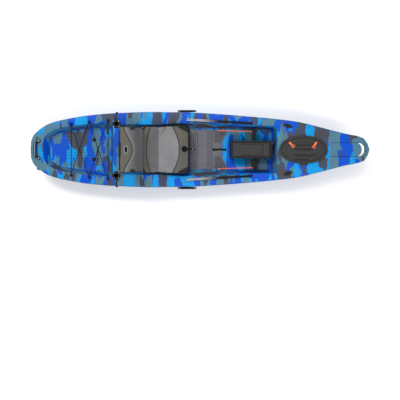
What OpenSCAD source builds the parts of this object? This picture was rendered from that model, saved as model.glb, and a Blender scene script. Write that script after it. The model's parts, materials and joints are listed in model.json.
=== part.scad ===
// Sit-on-top fishing kayak: moulded hull with tank well and cockpit, framed seat with a
// folding back, hinged bow hatch, lift-out console, sliding foot braces and carry handles.
// Millimetres. +X is the bow, +Y is port, +Z is up. The origin is under the middle of the
// hull, level with the lowest part of the keel.

/* [Hull] */
// Length over all, from the stern fitting to the bow tip
hull_length = 4115; // [3450:5:4950]
// Beam at the widest station
hull_beam = 922; // [770:2:1110]
// Height of the foredeck edge above the keel
hull_depth = 406; // [390:1:490]
// Wall of the moulded shell
wall = 5; // [4:0.5:8]

/* [Cockpit] */
// Rear end of the cockpit
cockpit_x0 = -975; // [-1000:5:-900]
// Front end of the cockpit
cockpit_x1 = 935; // [920:5:980]
// Height of the cockpit floor
cockpit_floor = 190; // [160:2:230]
// Thickness of the foam deck pad
pad_t = 6; // [3:1:9]
// Rear edge of the deck pad
pad_x0 = -125; // [-140:5:-60]
// Front edge of the deck pad at its corners
pad_x1 = 345; // [290:5:350]

/* [Tank well] */
// Rear end of the tank well
tank_x0 = -1890; // [-1900:5:-1800]
// Front end of the tank well
tank_x1 = -1050; // [-1120:5:-1050]
// Height of the tank well floor
tank_floor = 262; // [230:2:300]
// Diameter of the elastic cord
bungee_d = 8; // [4:0.5:8]
// Bore of a drain hole in the tank well
scupper_d = 34; // [26:1:44]

/* [Rudder] */
// Bore of the rudder mount
rudder_bore = 6.4; // [5:0.2:8]

/* [Rod holders] */
// Place of the rod holders along the hull
rod_x = -1008; // [-1030:1:-990]
// Distance of a rod holder from the middle
rod_y = 312; // [300:1:330]
// Bore of a rod holder
rod_bore = 45; // [38:0.5:54]
// Wall of the rod holder tube
rod_wall = 4; // [2:0.5:5]
// Depth of the rod holder tube below the deck
rod_depth = 190; // [150:5:230]
// Diameter of the rod holder flange
rod_flange = 104; // [90:1:110]

/* [Seat] */
// Overall width over the seat frame tubes
seat_w = 566; // [470:2:580]
// Diameter of the seat frame tube
seat_tube = 24; // [19:1:28]
// Thickness of the seat fabric
sling_t = 8; // [5:1:12]
// Height of the back above its hinge
back_h = 392; // [330:2:470]
// Radius of the back hinge pin
pivot_r = 6; // [4:0.5:8]
// Radial clearance of hinge pins
pin_gap = 0.06; // [0.02:0.01:0.1]

/* [Bow hatch] */
// Middle of the bow hatch along the hull
hatch_x = 1242; // [1225:1:1260]
// Length of the bow hatch lid
hatch_l = 580; // [490:5:600]
// Width of the bow hatch lid
hatch_w = 336; // [280:2:400]
// Thickness of the lid's edge
lid_t = 11; // [9:1:16]
// Depth of the storage tub below the rim
tub_depth = 205; // [160:5:240]
// Wall of the storage tub
tub_wall = 3; // [2:0.5:5]

/* [Console] */
// Rear end of the console
pod_x0 = 378; // [370:1:400]
// Length of the console
pod_l = 486; // [405:1:500]
// Width of the console
pod_w = 214; // [180:1:256]
// Height of the console's top edge above the keel
pod_top = 360; // [320:1:380]
// Height of the console's underside above the keel
pod_bottom = 96; // [80:1:120]
// Wall of the console
pod_wall = 4; // [2.5:0.5:6]
// Gap between the console and its well
pod_gap = 4; // [2:0.5:6]

/* [Gear tracks] */
// Length of a gear track
track_l = 800; // [660:5:960]
// Width of a gear track
track_w = 26; // [22:1:32]
// Height of a gear track
track_h = 15; // [12:1:20]
// Width of the slot along the top of a gear track
track_slot = 9; // [7:0.5:12]

/* [Handles] */
// Length of a side handle between its straps
handle_l = 190; // [155:5:230]
// Drop of a side handle below its hinge
handle_drop = 74; // [60:1:90]
// Radius of a handle grip
grip_r = 12; // [10:0.5:15]
// Width of the stern handle between its feet
stern_grip_w = 210; // [175:5:250]

/* [Foot braces] */
// Place of the foot pedals along the hull
pedal_x = 655; // [640:5:680]
// Travel of a foot brace each way
pedal_travel = 110; // [80:5:130]
// Height of a foot pedal
pedal_h = 120; // [95:5:140]

/* [Hidden] */
$fn = 48;

half_l = hull_length / 2;
half_b = hull_beam / 2;
ramp = 45;            // run of the end walls of the wells
stern_gap = 14;       // the stern fitting stands this far behind the hull
stern_x = -half_l + stern_gap;
touch = 0.4;          // gap between a fitting and the moulding that it sits on
pad_clear = 0.2;
seat_y = seat_w / 2 - seat_tube / 2;
pivot_x = -690;       // hinge of the seat back
pivot_z = 402;
socket_h = 8;
socket_out = 18;      // a socket's reach outboard of the leg, short of the floor's rounding
track_x = 238;        // middle of the gear tracks
track_y = 341;
track_yaw = 3.4;      // the tracks follow the sheer, in degrees
pod_x1 = pod_x0 + pod_l;
hatch_seat = hull_depth + 1; // flat on the foredeck that carries the hatch rim
rim_t = 4;            // flange of the hatch rim
hatch_z = hatch_seat + touch + rim_t;
gasket_h = 3;
lid_z = hatch_z + gasket_h;  // underside of the hatch lid
hinge_r = 4;
hatch_hinge_y = -hatch_w / 2 - 10;
hatch_hinge_z = lid_z + 5;
pod_hinge_x = pod_x1 + 9;
pod_hinge_z = pod_top + 12;
pod_lid_t = 12;
scupper_x = -1310;
scupper_y = 122;
scupper_collar = 9;
drain_x = -1967;
drain_z = 336;
drain_r = 13;
drain_boss = 6;       // how far the drain's round boss stands out of the side
handle_x = -158;      // middle of the side handles
anchor_h = 9;
handle_out = 17;      // hinge line of a side handle, out from the hull's side
pedal_y = 224;

// Half-beam, as a share of the greatest, along the hull: -1 is the stern and 1 the bow.
beam_curve = [[-0.994, 0.235], [-0.985, 0.345], [-0.975, 0.41], [-0.941, 0.548], [-0.873, 0.716],
    [-0.729, 0.857], [-0.653, 0.909], [-0.494, 0.967], [-0.241, 0.998], [-0.112, 0.998], [-0.006, 0.98],
    [0.182, 0.926], [0.37, 0.85], [0.506, 0.782], [0.58, 0.733], [0.707, 0.592], [0.842, 0.432],
    [0.947, 0.328], [0.973, 0.25], [0.99, 0.12], [1, 0.03]];
// Height of the gunwale, as a share of hull_depth.
sheer_curve = [[-1, 0.936], [-0.97, 0.95], [-0.78, 0.956], [-0.51, 0.966], [-0.27, 0.98], [-0.235, 0.94],
    [-0.2, 0.875], [-0.13, 0.857], [0.235, 0.857], [0.3, 0.877], [0.375, 0.916], [0.43, 0.931],
    [0.545, 0.966], [0.695, 0.99], [0.83, 1], [0.965, 0.998], [0.985, 0.95], [1, 0.88]];
// Height of the keel in the middle, as a share of hull_depth.
keel_curve = [[-1, 0.276], [-0.877, 0.222], [-0.772, 0.163], [-0.69, 0.116], [-0.476, 0.03], [-0.25, 0],
    [0.15, 0], [0.327, 0.03], [0.462, 0.076], [0.54, 0.133], [0.705, 0.172], [0.854, 0.202], [0.872, 0.29],
    [0.911, 0.628], [0.928, 0.76], [0.96, 0.8], [1, 0.835]];
// Height of the side chines, as a share of hull_depth.
chine_curve = [[-1, 0.56], [-0.92, 0.47], [-0.78, 0.32], [-0.6, 0.15], [-0.45, 0.04], [-0.25, 0],
    [0.15, 0], [0.32, 0.07], [0.467, 0.229], [0.655, 0.39], [0.777, 0.54], [0.883, 0.667], [0.93, 0.79],
    [0.96, 0.83], [1, 0.855]];
// Half-width of the keel's flat.
keel_flat_curve = [[-1, 16], [-0.7, 30], [-0.3, 60], [0.25, 60], [0.55, 26], [0.85, 15], [1, 9]];
// Half-width of the well mouths and of their floors, in millimetres along the hull.
mouth_curve = [[-1900, 130], [-1800, 222], [-1680, 262], [-1550, 283], [-1335, 308], [-1107, 328],
    [-1045, 318], [-980, 292], [-900, 302], [-500, 304], [-200, 322], [0, 326], [300, 310], [640, 292],
    [800, 290], [900, 284], [950, 256]];
floor_curve = [[-1900, 70], [-1800, 170], [-1680, 218], [-1550, 240], [-1335, 262], [-1107, 270],
    [-1045, 258], [-980, 240], [-900, 256], [-500, 264], [-130, 262], [340, 262], [640, 264],
    [900, 254], [950, 215]];
deck_crown = 6;       // rise of the closed decks above the gunwale

// Monotone cubic through the points of a table, held level past its ends.
function step_at(t, p, i = 0) = (i >= len(p) - 2 || t < p[i + 1][0]) ? i : step_at(t, p, i + 1);
function rise(p, i) = (p[i + 1][1] - p[i][1]) / (p[i + 1][0] - p[i][0]);
function tilt(p, i) = i == 0 ? rise(p, 0) : i == len(p) - 1 ? rise(p, i - 1)
    : let (a = rise(p, i - 1), b = rise(p, i)) a * b <= 0 ? 0 : 2 * a * b / (a + b);
function curve(t, p) = let (i = step_at(t, p), h = p[i + 1][0] - p[i][0],
        s = max(0, min(1, (t - p[i][0]) / h)), s2 = s * s, s3 = s2 * s)
    (2 * s3 - 3 * s2 + 1) * p[i][1] + (s3 - 2 * s2 + s) * h * tilt(p, i)
    + (3 * s2 - 2 * s3) * p[i + 1][1] + (s3 - s2) * h * tilt(p, i + 1);
function mix(a, b, s) = a + (b - a) * s;
function clamp(v) = max(0, min(1, v));

// Lines of the hull at a place along it.
function half_beam(x) = half_b * curve(x / half_l, beam_curve);
function sheer(x) = hull_depth * curve(x / half_l, sheer_curve);
function keel(x) = hull_depth * curve(x / half_l, keel_curve);
function chine(x) = hull_depth * curve(x / half_l, chine_curve);
function in_well(x, x0, x1, o) = clamp((x - x0 + o) / ramp) * clamp((x1 + o - x) / ramp);
function deck_z(x, o = 0) = let (closed = sheer(x) - o + deck_crown,
        t = in_well(x, tank_x0, tank_x1, o), c = in_well(x, cockpit_x0, cockpit_x1, o))
    mix(mix(closed, tank_floor - o, t), cockpit_floor - o, c);
// Roundings and ledges shrink with the hull's width and depth towards its ends.
function slim(x) = min(1, half_beam(x) / 130);
function shallow(x) = min(1, (sheer(x) - keel(x)) / 120);
function mouth(x) = min(curve(x, mouth_curve) * hull_beam / 922, half_beam(x) - 62 * slim(x));
function floor_half(x) = min(curve(x, floor_curve) * hull_beam / 922, mouth(x) - 18 * slim(x));
function groove(x) = 14 * clamp((x + 900) / 250) * clamp((520 - x) / 250);

// Half of the hull's section at x, from the keel up the side and in over the deck. o is how
// far inside the outer surface it lies.
function half_section(x, o) = let (b = half_beam(x) - o, g = sheer(x) - o, k = keel(x) + o,
        c = chine(x) + o, f = deck_z(x, o), w = floor_half(x) + o, m = mouth(x) + o,
        flat = min(max(curve(x / half_l, keel_flat_curve) - o, 3), 0.3 * b), sy = 0.8 * b
            * (1 - 0.25 * c / g),
        foot = sy - 60 * b / half_b, e = slim(x), v = shallow(x),
        lift = mix(k, c, 0.62) + 20 * v * clamp(1 - abs(c - k) / 90))
    [[0, k], [flat, k], [mix(flat, foot, 0.5), lift], [foot, c],
     [sy + 8 * e, c + 12 * v], [mix(sy, b, 0.72), mix(c, g, 0.24)], [b - 8 * e, mix(g, c, 0.43)],
     [b - 9 * e - groove(x), mix(g, c, 0.37)], [b, mix(g, c, 0.17)], [b - 4 * e, g - 10 * v], [b - 18 * e, g],
     [m + 8 * e, g], [m - 4 * e, mix(g, f, 0.10)], [w + 6 * e, mix(g, f, 0.90)], [w - 14 * e, f], [0, f]];
function ring(x, o) = let (h = half_section(x, o), n = len(h))
    [for (p = h) [x, p[0], p[1]], for (i = [n - 2 : -1 : 1]) [x, -h[i][0], h[i][1]]];

// Stations between the given places, at most gap apart.
function between(a, b, gap) = let (n = max(1, ceil((b - a) / gap))) [for (i = [0 : n - 1]) mix(a, b, i / n)];
function stations(p, gap) = concat([for (i = [0 : len(p) - 2]) each between(p[i], p[i + 1], gap)],
    [p[len(p) - 1]]);
module loft(rings) {
    n = len(rings[0]);
    last = len(rings) - 1;
    points = [for (r = rings) each r];
    sides = [for (s = [0 : last - 1], i = [0 : n - 1]) let (j = (i + 1) % n)
        each [[s * n + j, s * n + i, (s + 1) * n + j], [s * n + i, (s + 1) * n + i, (s + 1) * n + j]]];
    polyhedron(points, concat(sides, [[for (i = [0 : n - 1]) i]],
        [[for (i = [n - 1 : -1 : 0]) last * n + i]]));
}

// Places along the hull where its lines bend. The inner surface takes its stations from the same
// list, so the wall keeps its thickness between them.
outer_marks = [stern_x, stern_x + 20, stern_x + 45, -half_l * 0.941, tank_x0 - wall, tank_x0,
    tank_x0 - wall + ramp, tank_x0 + ramp, tank_x1 - ramp, tank_x1 + wall - ramp, tank_x1, tank_x1 + wall,
    cockpit_x0 - wall, cockpit_x0, cockpit_x0 - wall + ramp, cockpit_x0 + ramp, cockpit_x1 - ramp,
    cockpit_x1 + wall - ramp, cockpit_x1, cockpit_x1 + wall, half_l * 0.84, half_l * 0.854,
    half_l * 0.872, half_l * 0.911, half_l * 0.928, half_l * 0.96, half_l * 0.985, half_l];
inner_marks = [for (x = outer_marks) if (x >= stern_x + 45 && x <= half_l * 0.84) x];
station_gap = 90;

stern_deck = deck_z(stern_x + 66) + touch;
stern_grip_x = stern_x + 61;
stern_grip_z = stern_deck + grip_r + 1;

// Straight round bar between two points.
module rod(a, b, r) {
    v = b - a;
    translate(a) rotate([0, acos(v[2] / norm(v)), atan2(v[1], v[0])]) cylinder(h = norm(v), r = r);
}
function unit(v) = v / norm(v);
function tangents(p) = [for (i = [0 : len(p) - 1]) unit(p[min(i + 1, len(p) - 1)] - p[max(i - 1, 0)])];
function across(t, n, i = 0) = i == len(t) ? [] : let (m = unit(n - (n * t[i]) * t[i]))
    concat([m], across(t, m, i + 1));
// Smooth line through the points, with n steps between each two.
function smooth_line(p, n) = concat([for (i = [0 : len(p) - 2], k = [0 : n - 1])
    let (a = p[max(i - 1, 0)], b = p[i], c = p[i + 1], d = p[min(i + 2, len(p) - 1)], s = k / n)
    0.5 * (2 * b + (c - a) * s + (2 * a - 5 * b + 4 * c - d) * s * s + (3 * b - a - 3 * c + d) * s * s * s)],
    [p[len(p) - 1]]);
// Bar along a line of points; its section is a list of offsets across and up.
module sweep(p, section, side = [0, 1, 0]) {
    t = tangents(p);
    n = across(t, side);
    loft([for (i = [0 : len(p) - 1]) [for (q = section) p[i] + q[0] * n[i] + q[1] * cross(t[i], n[i])]]);
}
function round_section(r, sides = 8) = [for (i = [0 : sides - 1]) r
    * [cos(360 * i / sides), sin(360 * i / sides)]];
function flat_section(w, h) = [[w / 2, h / 2], [-w / 2, h / 2], [-w / 2, -h / 2], [w / 2, -h / 2]];
module both_sides() {
    children();
    mirror([0, 1, 0]) children();
}
module rounded_box(x0, x1, w, z0, z1, r) {
    translate([0, 0, z0]) linear_extrude(z1 - z0) hull()
        for (x = [x0 + r, x1 - r], y = [-w / 2 + r, w / 2 - r])
        translate([x, y]) circle(r, $fn = 32);
}
function oval(l, w, bulge = 2.15) = [for (a = [0 : 7.5 : 352.5])
    [l / 2 * sign(cos(a)) * pow(abs(cos(a)), 2 / bulge), w / 2 * sign(sin(a)) * pow(abs(sin(a)), 2 / bulge)]];

// Hull ------------------------------------------------------------------------------------
bow_hole_x = half_l - 74;
bow_hole_w = 58;      // fore and aft, room for four fingers
drain_yaw = -atan((half_beam(drain_x + 15) - half_beam(drain_x - 15)) / 30);
drain_y = -half_beam(drain_x);
// Puts the children on the flat face of the drain's boss, with +Z pointing out of the hull.
module at_drain() translate([drain_x, drain_y, drain_z]) rotate([0, 0, drain_yaw]) rotate([90, 0, 0])
    translate([0, 0, drain_boss]) children();
module bow_finger_hole() {
    translate([0, 0, keel(bow_hole_x) - 60]) linear_extrude(200)
        polygon([for (a = [-62 : 12.4 : 62]) [bow_hole_x - 60 + 80 * cos(a), 88 * sin(a)],
                 for (a = [62 : -12.4 : -62]) [bow_hole_x - 60 - bow_hole_w + 80 * cos(a), 86 * sin(a)]]);
}
module hull_walls() {
    difference() {
        loft([for (x = stations(outer_marks, station_gap)) ring(x, 0)]);
        loft([for (x = stations(inner_marks, station_gap)) ring(x, wall)]);
    }
    both_sides() translate([rod_x, rod_y, sheer(rod_x) - rod_depth - wall - 1])
        cylinder(h = rod_depth + 4, r = rod_bore / 2 + rod_wall + wall);
    both_sides() translate([scupper_x, scupper_y, keel(scupper_x) + 45])
        cylinder(h = tank_floor - keel(scupper_x) - 46, r = scupper_d / 2 + scupper_collar);
    rounded_box(pod_x0 - pod_gap - wall, pod_x1 + pod_gap + wall, pod_w + 2 * pod_gap + 2 * wall,
        pod_bottom - wall - 1, cockpit_floor - 1, 20);
    translate([hatch_x, 0, hatch_seat - 26]) linear_extrude(26) polygon(oval(hatch_l + 36, hatch_w + 60));
    translate([stern_x + 68, 0, stern_deck - touch - 42]) cube([100, 210, 70], center = true);
    at_drain() translate([0, 0, -40]) cylinder(h = 40, r = drain_r + 11);
}
module hull_shell() color([0.05, 0.45, 0.8]) difference() {
    hull_walls();
    both_sides() translate([rod_x, rod_y, sheer(rod_x) - rod_depth])
        cylinder(h = rod_depth + 60, r = rod_bore / 2 + rod_wall + touch);
    both_sides() translate([scupper_x, scupper_y, -1]) cylinder(h = tank_floor + 2, r = scupper_d / 2);
    rounded_box(pod_x0 - pod_gap, pod_x1 + pod_gap, pod_w + 2 * pod_gap, pod_bottom - 1, cockpit_floor
        + 40, 14);
    translate([hatch_x, 0, hull_depth - 80]) linear_extrude(160) polygon(oval(hatch_l - 50, hatch_w - 50));
    translate([hatch_x, 0, hatch_seat]) linear_extrude(60) polygon(oval(hatch_l + 24, hatch_w + 48));
    bow_finger_hole();
    translate([stern_x + 34, -80, stern_deck - touch - 26]) cube([54, 160, 60]);
    at_drain() translate([0, 0, -60]) cylinder(h = 80, r = drain_r + touch);
    for (i = [-5 : 5]) hull() for (x = [tank_x0 + 154 + max(0, abs(i) - 3) * 25, tank_x1 - 94])
        translate([x, i * 38, tank_floor - 3]) cylinder(h = 6, r = 4, $fn = 16);
}

// Deck fittings ---------------------------------------------------------------------------
pad_half = floor_half(0) - 18;
module deck_pad() color([0.42, 0.42, 0.46]) translate([0, 0, cockpit_floor + pad_clear])
    linear_extrude(pad_t) polygon([[pad_x0, -pad_half], [pad_x1 - 12, -pad_half], [pad_x1, -pad_half + 14],
        [pad_x1 - 66, -92], [pad_x1 - 66, 92], [pad_x1, pad_half - 14], [pad_x1 - 12, pad_half],
            [pad_x0, pad_half]]);

track_z = max(sheer(track_x), sheer(track_x + track_l / 2)) + 3;
module gear_track() translate([track_x, track_y, track_z]) rotate([0, 0, -track_yaw]) difference() {
    translate([-track_l / 2, -track_w / 2, 0]) cube([track_l, track_w, track_h]);
    translate([-track_l / 2 - 1, -track_slot / 2, 4]) cube([track_l + 2, track_slot, track_h]);
    translate([-track_l / 2 - 1, -track_w / 2 + 4, 4]) cube([track_l + 2, track_w - 8, track_h - 7]);
}
module port_gear_track() color([0.12, 0.12, 0.14]) gear_track();
module starboard_gear_track() color([0.12, 0.12, 0.14]) mirror([0, 1, 0]) gear_track();

rod_deck = max(sheer(rod_x), deck_z(rod_x)) + touch;
module rod_holder() translate([rod_x, rod_y, 0]) difference() {
    union() {
        translate([0, 0, rod_deck]) cylinder(h = 5, r = rod_flange / 2);
        translate([0, 0, rod_deck + 5]) cylinder(h = 7, r1 = rod_flange / 2 - 16, r2 = rod_bore / 2
            + rod_wall + 2);
        translate([0, 0, sheer(rod_x) - rod_depth + touch])
            cylinder(h = rod_depth + rod_deck - sheer(rod_x), r = rod_bore / 2 + rod_wall);
    }
    translate([0, 0, sheer(rod_x) - rod_depth + rod_wall + touch])
        cylinder(h = rod_depth + 100, r = rod_bore / 2);
}
module port_rod_holder() color([0.05, 0.05, 0.05]) rod_holder();
module starboard_rod_holder() color([0.05, 0.05, 0.05]) mirror([0, 1, 0]) rod_holder();

// The six eyes of the tank well lacing, stern to bow.
eye_x = [-1552, -1334, -1106];
function eye_y(i) = mouth(eye_x[i]) + 27;
eye_base = 7;
eye_r = 8;
cord_pitch = bungee_d + 0.6;  // cords that share an eye lie one above the other
function cord_z(i, level) = sheer(eye_x[i]) + eye_base + (level + 0.5) * cord_pitch;
module pad_eye() {
    cylinder(h = eye_base, r = 13);
    translate([0, 0, eye_base - 1]) cylinder(h = 3 * cord_pitch + 1, r = eye_r);
    translate([0, 0, eye_base + 3 * cord_pitch - 0.5]) cylinder(h = 4, r = 11);
}
module bungee_pad_eyes() color([0.04, 0.04, 0.04]) for (i = [0 : 2]) both_sides()
    translate([eye_x[i], eye_y(i), sheer(eye_x[i]) + touch]) pad_eye();
// Cord from the port eye i to the starboard eye j.
module lacing(i, j, level) {
    a = [eye_x[i], eye_y(i), cord_z(i, level)];
    b = [eye_x[j], -eye_y(j), cord_z(j, level)];
    reach = (eye_r + touch) * unit(b - a);
    rod(a + reach, b - reach, bungee_d / 2);
}
module tank_well_bungee() color([0.06, 0.06, 0.07]) {
    lacing(0, 0, 0);
    lacing(2, 2, 0);
    lacing(0, 1, 1);
    lacing(1, 2, 1);
    lacing(1, 0, 2);
    lacing(2, 1, 2);
}

module stern_handle() color([0.04, 0.04, 0.04]) {
    rod([stern_grip_x, -stern_grip_w / 2 + 22, stern_grip_z],
        [stern_grip_x, stern_grip_w / 2 - 22, stern_grip_z], grip_r);
    both_sides() difference() {
        hull() {
            translate([stern_grip_x, stern_grip_w / 2 - 26, stern_grip_z]) sphere(r = grip_r - 1, $fn = 24);
            translate([stern_grip_x + 44, stern_grip_w / 2, stern_deck]) cylinder(h = 10, r = 17, $fn = 32);
        }
        translate([stern_grip_x + 44, stern_grip_w / 2, stern_deck - 1]) cylinder(h = 60, r = 4.5);
    }
}
module stern_handle_bolts() color([0.8, 0.8, 0.82]) both_sides()
    translate([stern_grip_x + 44, stern_grip_w / 2, stern_deck + 0.2]) {
    cylinder(h = 22, r = 4);
    translate([0, 0, 22]) cylinder(h = 4, r = 8);
}
gudgeon_r = 6.5;
module rudder_mount() color([0.35, 0.5, 0.55]) translate([stern_x, 0, 0]) difference() {
    union() {
        translate([-stern_gap + gudgeon_r, 0, 300]) cylinder(h = 48, r = gudgeon_r);
        translate([-4, -18, 286]) cube([4 - touch, 36, 76]);
    }
    translate([-stern_gap + gudgeon_r, 0, 280]) cylinder(h = 100, r = rudder_bore / 2);
}
module skid_plate() color([0.2, 0.24, 0.26])
    sweep([for (x = [stern_x + 50 : 35 : stern_x + 330]) [x, 0, keel(x) - 3 - touch]], flat_section(26, 6));

// Bow hatch -------------------------------------------------------------------------------
module oval_ring(l, w, cut, h) linear_extrude(h) difference() {
    polygon(oval(l, w));
    polygon(oval(l - 2 * cut, w - 2 * cut));
}
hinge_ear_x = 38;
module hatch_rim() color([0.08, 0.08, 0.09]) difference() {
    union() {
        translate([hatch_x, 0, hatch_z - 40]) oval_ring(hatch_l - 52, hatch_w - 52, 6, 40);
        translate([hatch_x, 0, hatch_z - rim_t]) oval_ring(hatch_l - 8, hatch_w - 8, 28, rim_t);
        for (x = [-hinge_ear_x, hinge_ear_x]) translate([hatch_x + x - 9, hatch_hinge_y, hatch_hinge_z]) {
            rotate([0, 90, 0]) cylinder(h = 18, r = 8);
            translate([0, -8, hatch_z - rim_t - hatch_hinge_z]) cube([18, 32, rim_t]);
            translate([0, -8, hatch_z - rim_t - hatch_hinge_z]) cube([18, 16, 8]);
        }
    }
    translate([hatch_x - 60, hatch_hinge_y, hatch_hinge_z]) rotate([0, 90, 0])
        cylinder(h = 120, r = hinge_r + pin_gap);
}
module hatch_gasket() color([0.1, 0.1, 0.1]) translate([hatch_x, 0, hatch_z + 0.05])
    oval_ring(hatch_l - 34, hatch_w - 34, 9, gasket_h - 0.35);
module hatch_tub() color([0.09, 0.09, 0.1]) translate([hatch_x, 0, hatch_z - tub_depth]) {
    linear_extrude(tub_wall) polygon(oval(hatch_l - 72, hatch_w - 72));
    translate([0, 0, tub_wall]) oval_ring(hatch_l - 72, hatch_w - 72, tub_wall, tub_depth - tub_wall - 8);
}
module hatch_hinge_pin() color([0.75, 0.75, 0.77]) translate([hatch_x - 48, hatch_hinge_y, hatch_hinge_z])
    rotate([0, 90, 0]) cylinder(h = 96, r = hinge_r);
latch_x = [-166, 146];     // posts of the rear and front latches, from the middle of the lid
latch_y = 80;
latch_post = 5;
module hatch_lid() color([0.16, 0.16, 0.17]) difference() {
    union() {
        translate([hatch_x, 0, lid_z]) linear_extrude(lid_t) polygon(oval(hatch_l, hatch_w));
        for (y = [-84, 0, 84]) hull() for (x = [-95, 95]) translate([hatch_x + x, y, lid_z + lid_t])
            sphere(r = 6, $fn = 16);
        translate([hatch_x - 27, hatch_hinge_y, hatch_hinge_z - 5]) cube([54, 26, 10]);
        translate([hatch_x - 27, hatch_hinge_y, hatch_hinge_z]) rotate([0, 90, 0]) cylinder(h = 54, r = 8);
    }
    translate([hatch_x - 60, hatch_hinge_y, hatch_hinge_z]) rotate([0, 90, 0])
        cylinder(h = 120, r = hinge_r + pin_gap);
    for (x = latch_x) translate([hatch_x + x, latch_y, lid_z - 1]) cylinder(h = 60, r = latch_post + pin_gap);
}
// Turning latch: post through the lid, cam under it, handle with a finger loop on top.
module latch(turn) {
    cylinder(h = lid_t + 3, r = latch_post);
    translate([0, 0, lid_t + 0.4]) rotate([0, 0, turn]) {
        hull() {
            cylinder(h = 9, r = 13, $fn = 24);
            translate([30, 0, 0]) cylinder(h = 8, r = 9, $fn = 24);
        }
        difference() {
            hull() {
                translate([30, 0, 0]) cylinder(h = 7, r = 8, $fn = 24);
                for (y = [-16, 16]) translate([62, y, 0]) cylinder(h = 7, r = 6, $fn = 24);
            }
            translate([0, 0, -1]) hull() {
                translate([42, 0, 0]) cylinder(h = 20, r = 3, $fn = 24);
                for (y = [-9, 9]) translate([56, y, 0]) cylinder(h = 20, r = 3, $fn = 24);
            }
        }
    }
}
module rear_hatch_latch() color([0.95, 0.4, 0.12]) translate([hatch_x + latch_x[0], latch_y, lid_z])
    latch(-45);
module front_hatch_latch() color([0.95, 0.4, 0.12]) translate([hatch_x + latch_x[1], latch_y, lid_z])
    latch(240);

cleat_x = 1062;
cleat_y = 286;
module bow_cleats() color([0.03, 0.03, 0.03]) both_sides()
    translate([cleat_x, cleat_y, sheer(cleat_x) + 3.5]) rotate([0, -2.5, -20]) linear_extrude(11)
        polygon(oval(112, 46, 1.5));

// Side fittings ---------------------------------------------------------------------------
hook_x = -1008;
module paddle_hooks() color([0.04, 0.04, 0.04]) both_sides() {
    y = half_beam(hook_x);
    z = sheer(hook_x);
    sweep(smooth_line([[hook_x, rod_y + rod_flange / 2 + 8, z + 6], [hook_x, y - 20, z + 7],
        [hook_x, y + 5, z - 4],
        [hook_x - 4, y + 8, z - 40], [hook_x - 8, y + 6, z - 70]], 4), flat_section(16, 6), [1, 0, 0]);
    translate([hook_x - 8, y + 1, z - 78]) rotate([-90, 0, 0]) cylinder(h = 12, r = 13);
}
anchor_z = sheer(handle_x) - 12;
side_y = half_beam(handle_x);
module side_handle_anchors() color([0.05, 0.05, 0.05]) both_sides() for (x = [-handle_l / 2, handle_l / 2])
    translate([handle_x + x, side_y + 1, anchor_z]) difference() {
        union() {
            translate([-17, 0, -15]) cube([34, 6, 30]);
            for (e = [-17, 9]) translate([e, handle_out - 1, 0]) rotate([0, 90, 0]) cylinder(h = 8, r = 8);
            for (e = [-17, 9]) translate([e, 3, -8]) cube([8, handle_out - 4, 16]);
        }
        translate([-30, handle_out - 1, 0]) rotate([0, 90, 0]) cylinder(h = 60, r = hinge_r + pin_gap);
    }
// Webbing loops that hang from the anchors and hold the grip.
module handle_strap() {
    for (x = [-handle_l / 2, handle_l / 2]) translate([handle_x + x, side_y + handle_out, anchor_z]) {
        rotate([0, 90, 0]) cylinder(h = 34, r = hinge_r, center = true);
        difference() {
            translate([-8, -2.5, -handle_drop + 6]) cube([16, 5, handle_drop - 6]);
            rotate([0, 90, 0]) cylinder(h = 40, r = hinge_r - 0.5, center = true);
        }
    }
    rod([handle_x - handle_l / 2 - 8, side_y + handle_out, anchor_z - handle_drop],
        [handle_x + handle_l / 2 + 8, side_y + handle_out, anchor_z - handle_drop], 7);
}
module handle_grip() difference() {
    rod([handle_x - handle_l / 2 + 14, side_y + handle_out, anchor_z - handle_drop],
        [handle_x + handle_l / 2 - 14, side_y + handle_out, anchor_z - handle_drop], grip_r + 2);
    rod([handle_x - handle_l, side_y + handle_out, anchor_z - handle_drop],
        [handle_x + handle_l, side_y + handle_out, anchor_z - handle_drop], 7.05);
}
module port_handle_strap() color([0.05, 0.05, 0.06]) handle_strap();
module starboard_handle_strap() color([0.05, 0.05, 0.06]) mirror([0, 1, 0]) handle_strap();
module port_handle_grip() color([0.03, 0.04, 0.12]) handle_grip();
module starboard_handle_grip() color([0.03, 0.04, 0.12]) mirror([0, 1, 0]) handle_grip();

// Foot braces -----------------------------------------------------------------------------
foot_track_z = cockpit_floor + 74;
foot_track_y = pedal_y + 28;
foot_track_l = 2 * pedal_travel + 90;
module foot_track() translate([pedal_x + 35, foot_track_y, foot_track_z]) difference() {
    translate([-foot_track_l / 2, -6, -17]) cube([foot_track_l, 14, 34]);
    translate([-foot_track_l / 2 + 10, -7, -6]) cube([foot_track_l - 20, 9, 12]);
    for (i = [0 : 9]) translate([-foot_track_l / 2 + 25 + i * (foot_track_l - 50) / 9, -7, 6])
        cube([8, 5, 6]);
}
module port_foot_track() color([0.06, 0.06, 0.06]) foot_track();
module starboard_foot_track() color([0.06, 0.06, 0.06]) mirror([0, 1, 0]) foot_track();
module foot_pedal() {
    translate([pedal_x, 0, 0]) difference() {
        union() {
            translate([-7, pedal_y - 92, foot_track_z - pedal_h / 2 + 8]) cube([12, 92, pedal_h]);
            translate([5, pedal_y - 12, foot_track_z - 14]) cube([46, 22, 28]);
            translate([20, pedal_y + 9, foot_track_z - 4.5]) cube([30, foot_track_y - pedal_y - 8, 9]);
        }
        for (z = [0 : 3]) translate([-8, pedal_y - 84, foot_track_z - pedal_h / 2 + 20 + z * 26])
            cube([4, 70, 8]);
    }
}
module port_foot_pedal() color([0.04, 0.04, 0.04]) foot_pedal();
module starboard_foot_pedal() color([0.04, 0.04, 0.04]) mirror([0, 1, 0]) foot_pedal();
module adjuster_rod() {
    rod([pedal_x - 8, pedal_y - 2, foot_track_z + 20], [pedal_x - 425, pedal_y + 12, foot_track_z + 20], 4.5);
    translate([pedal_x - 425, pedal_y + 12, foot_track_z + 20]) sphere(r = 9, $fn = 24);
}
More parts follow.
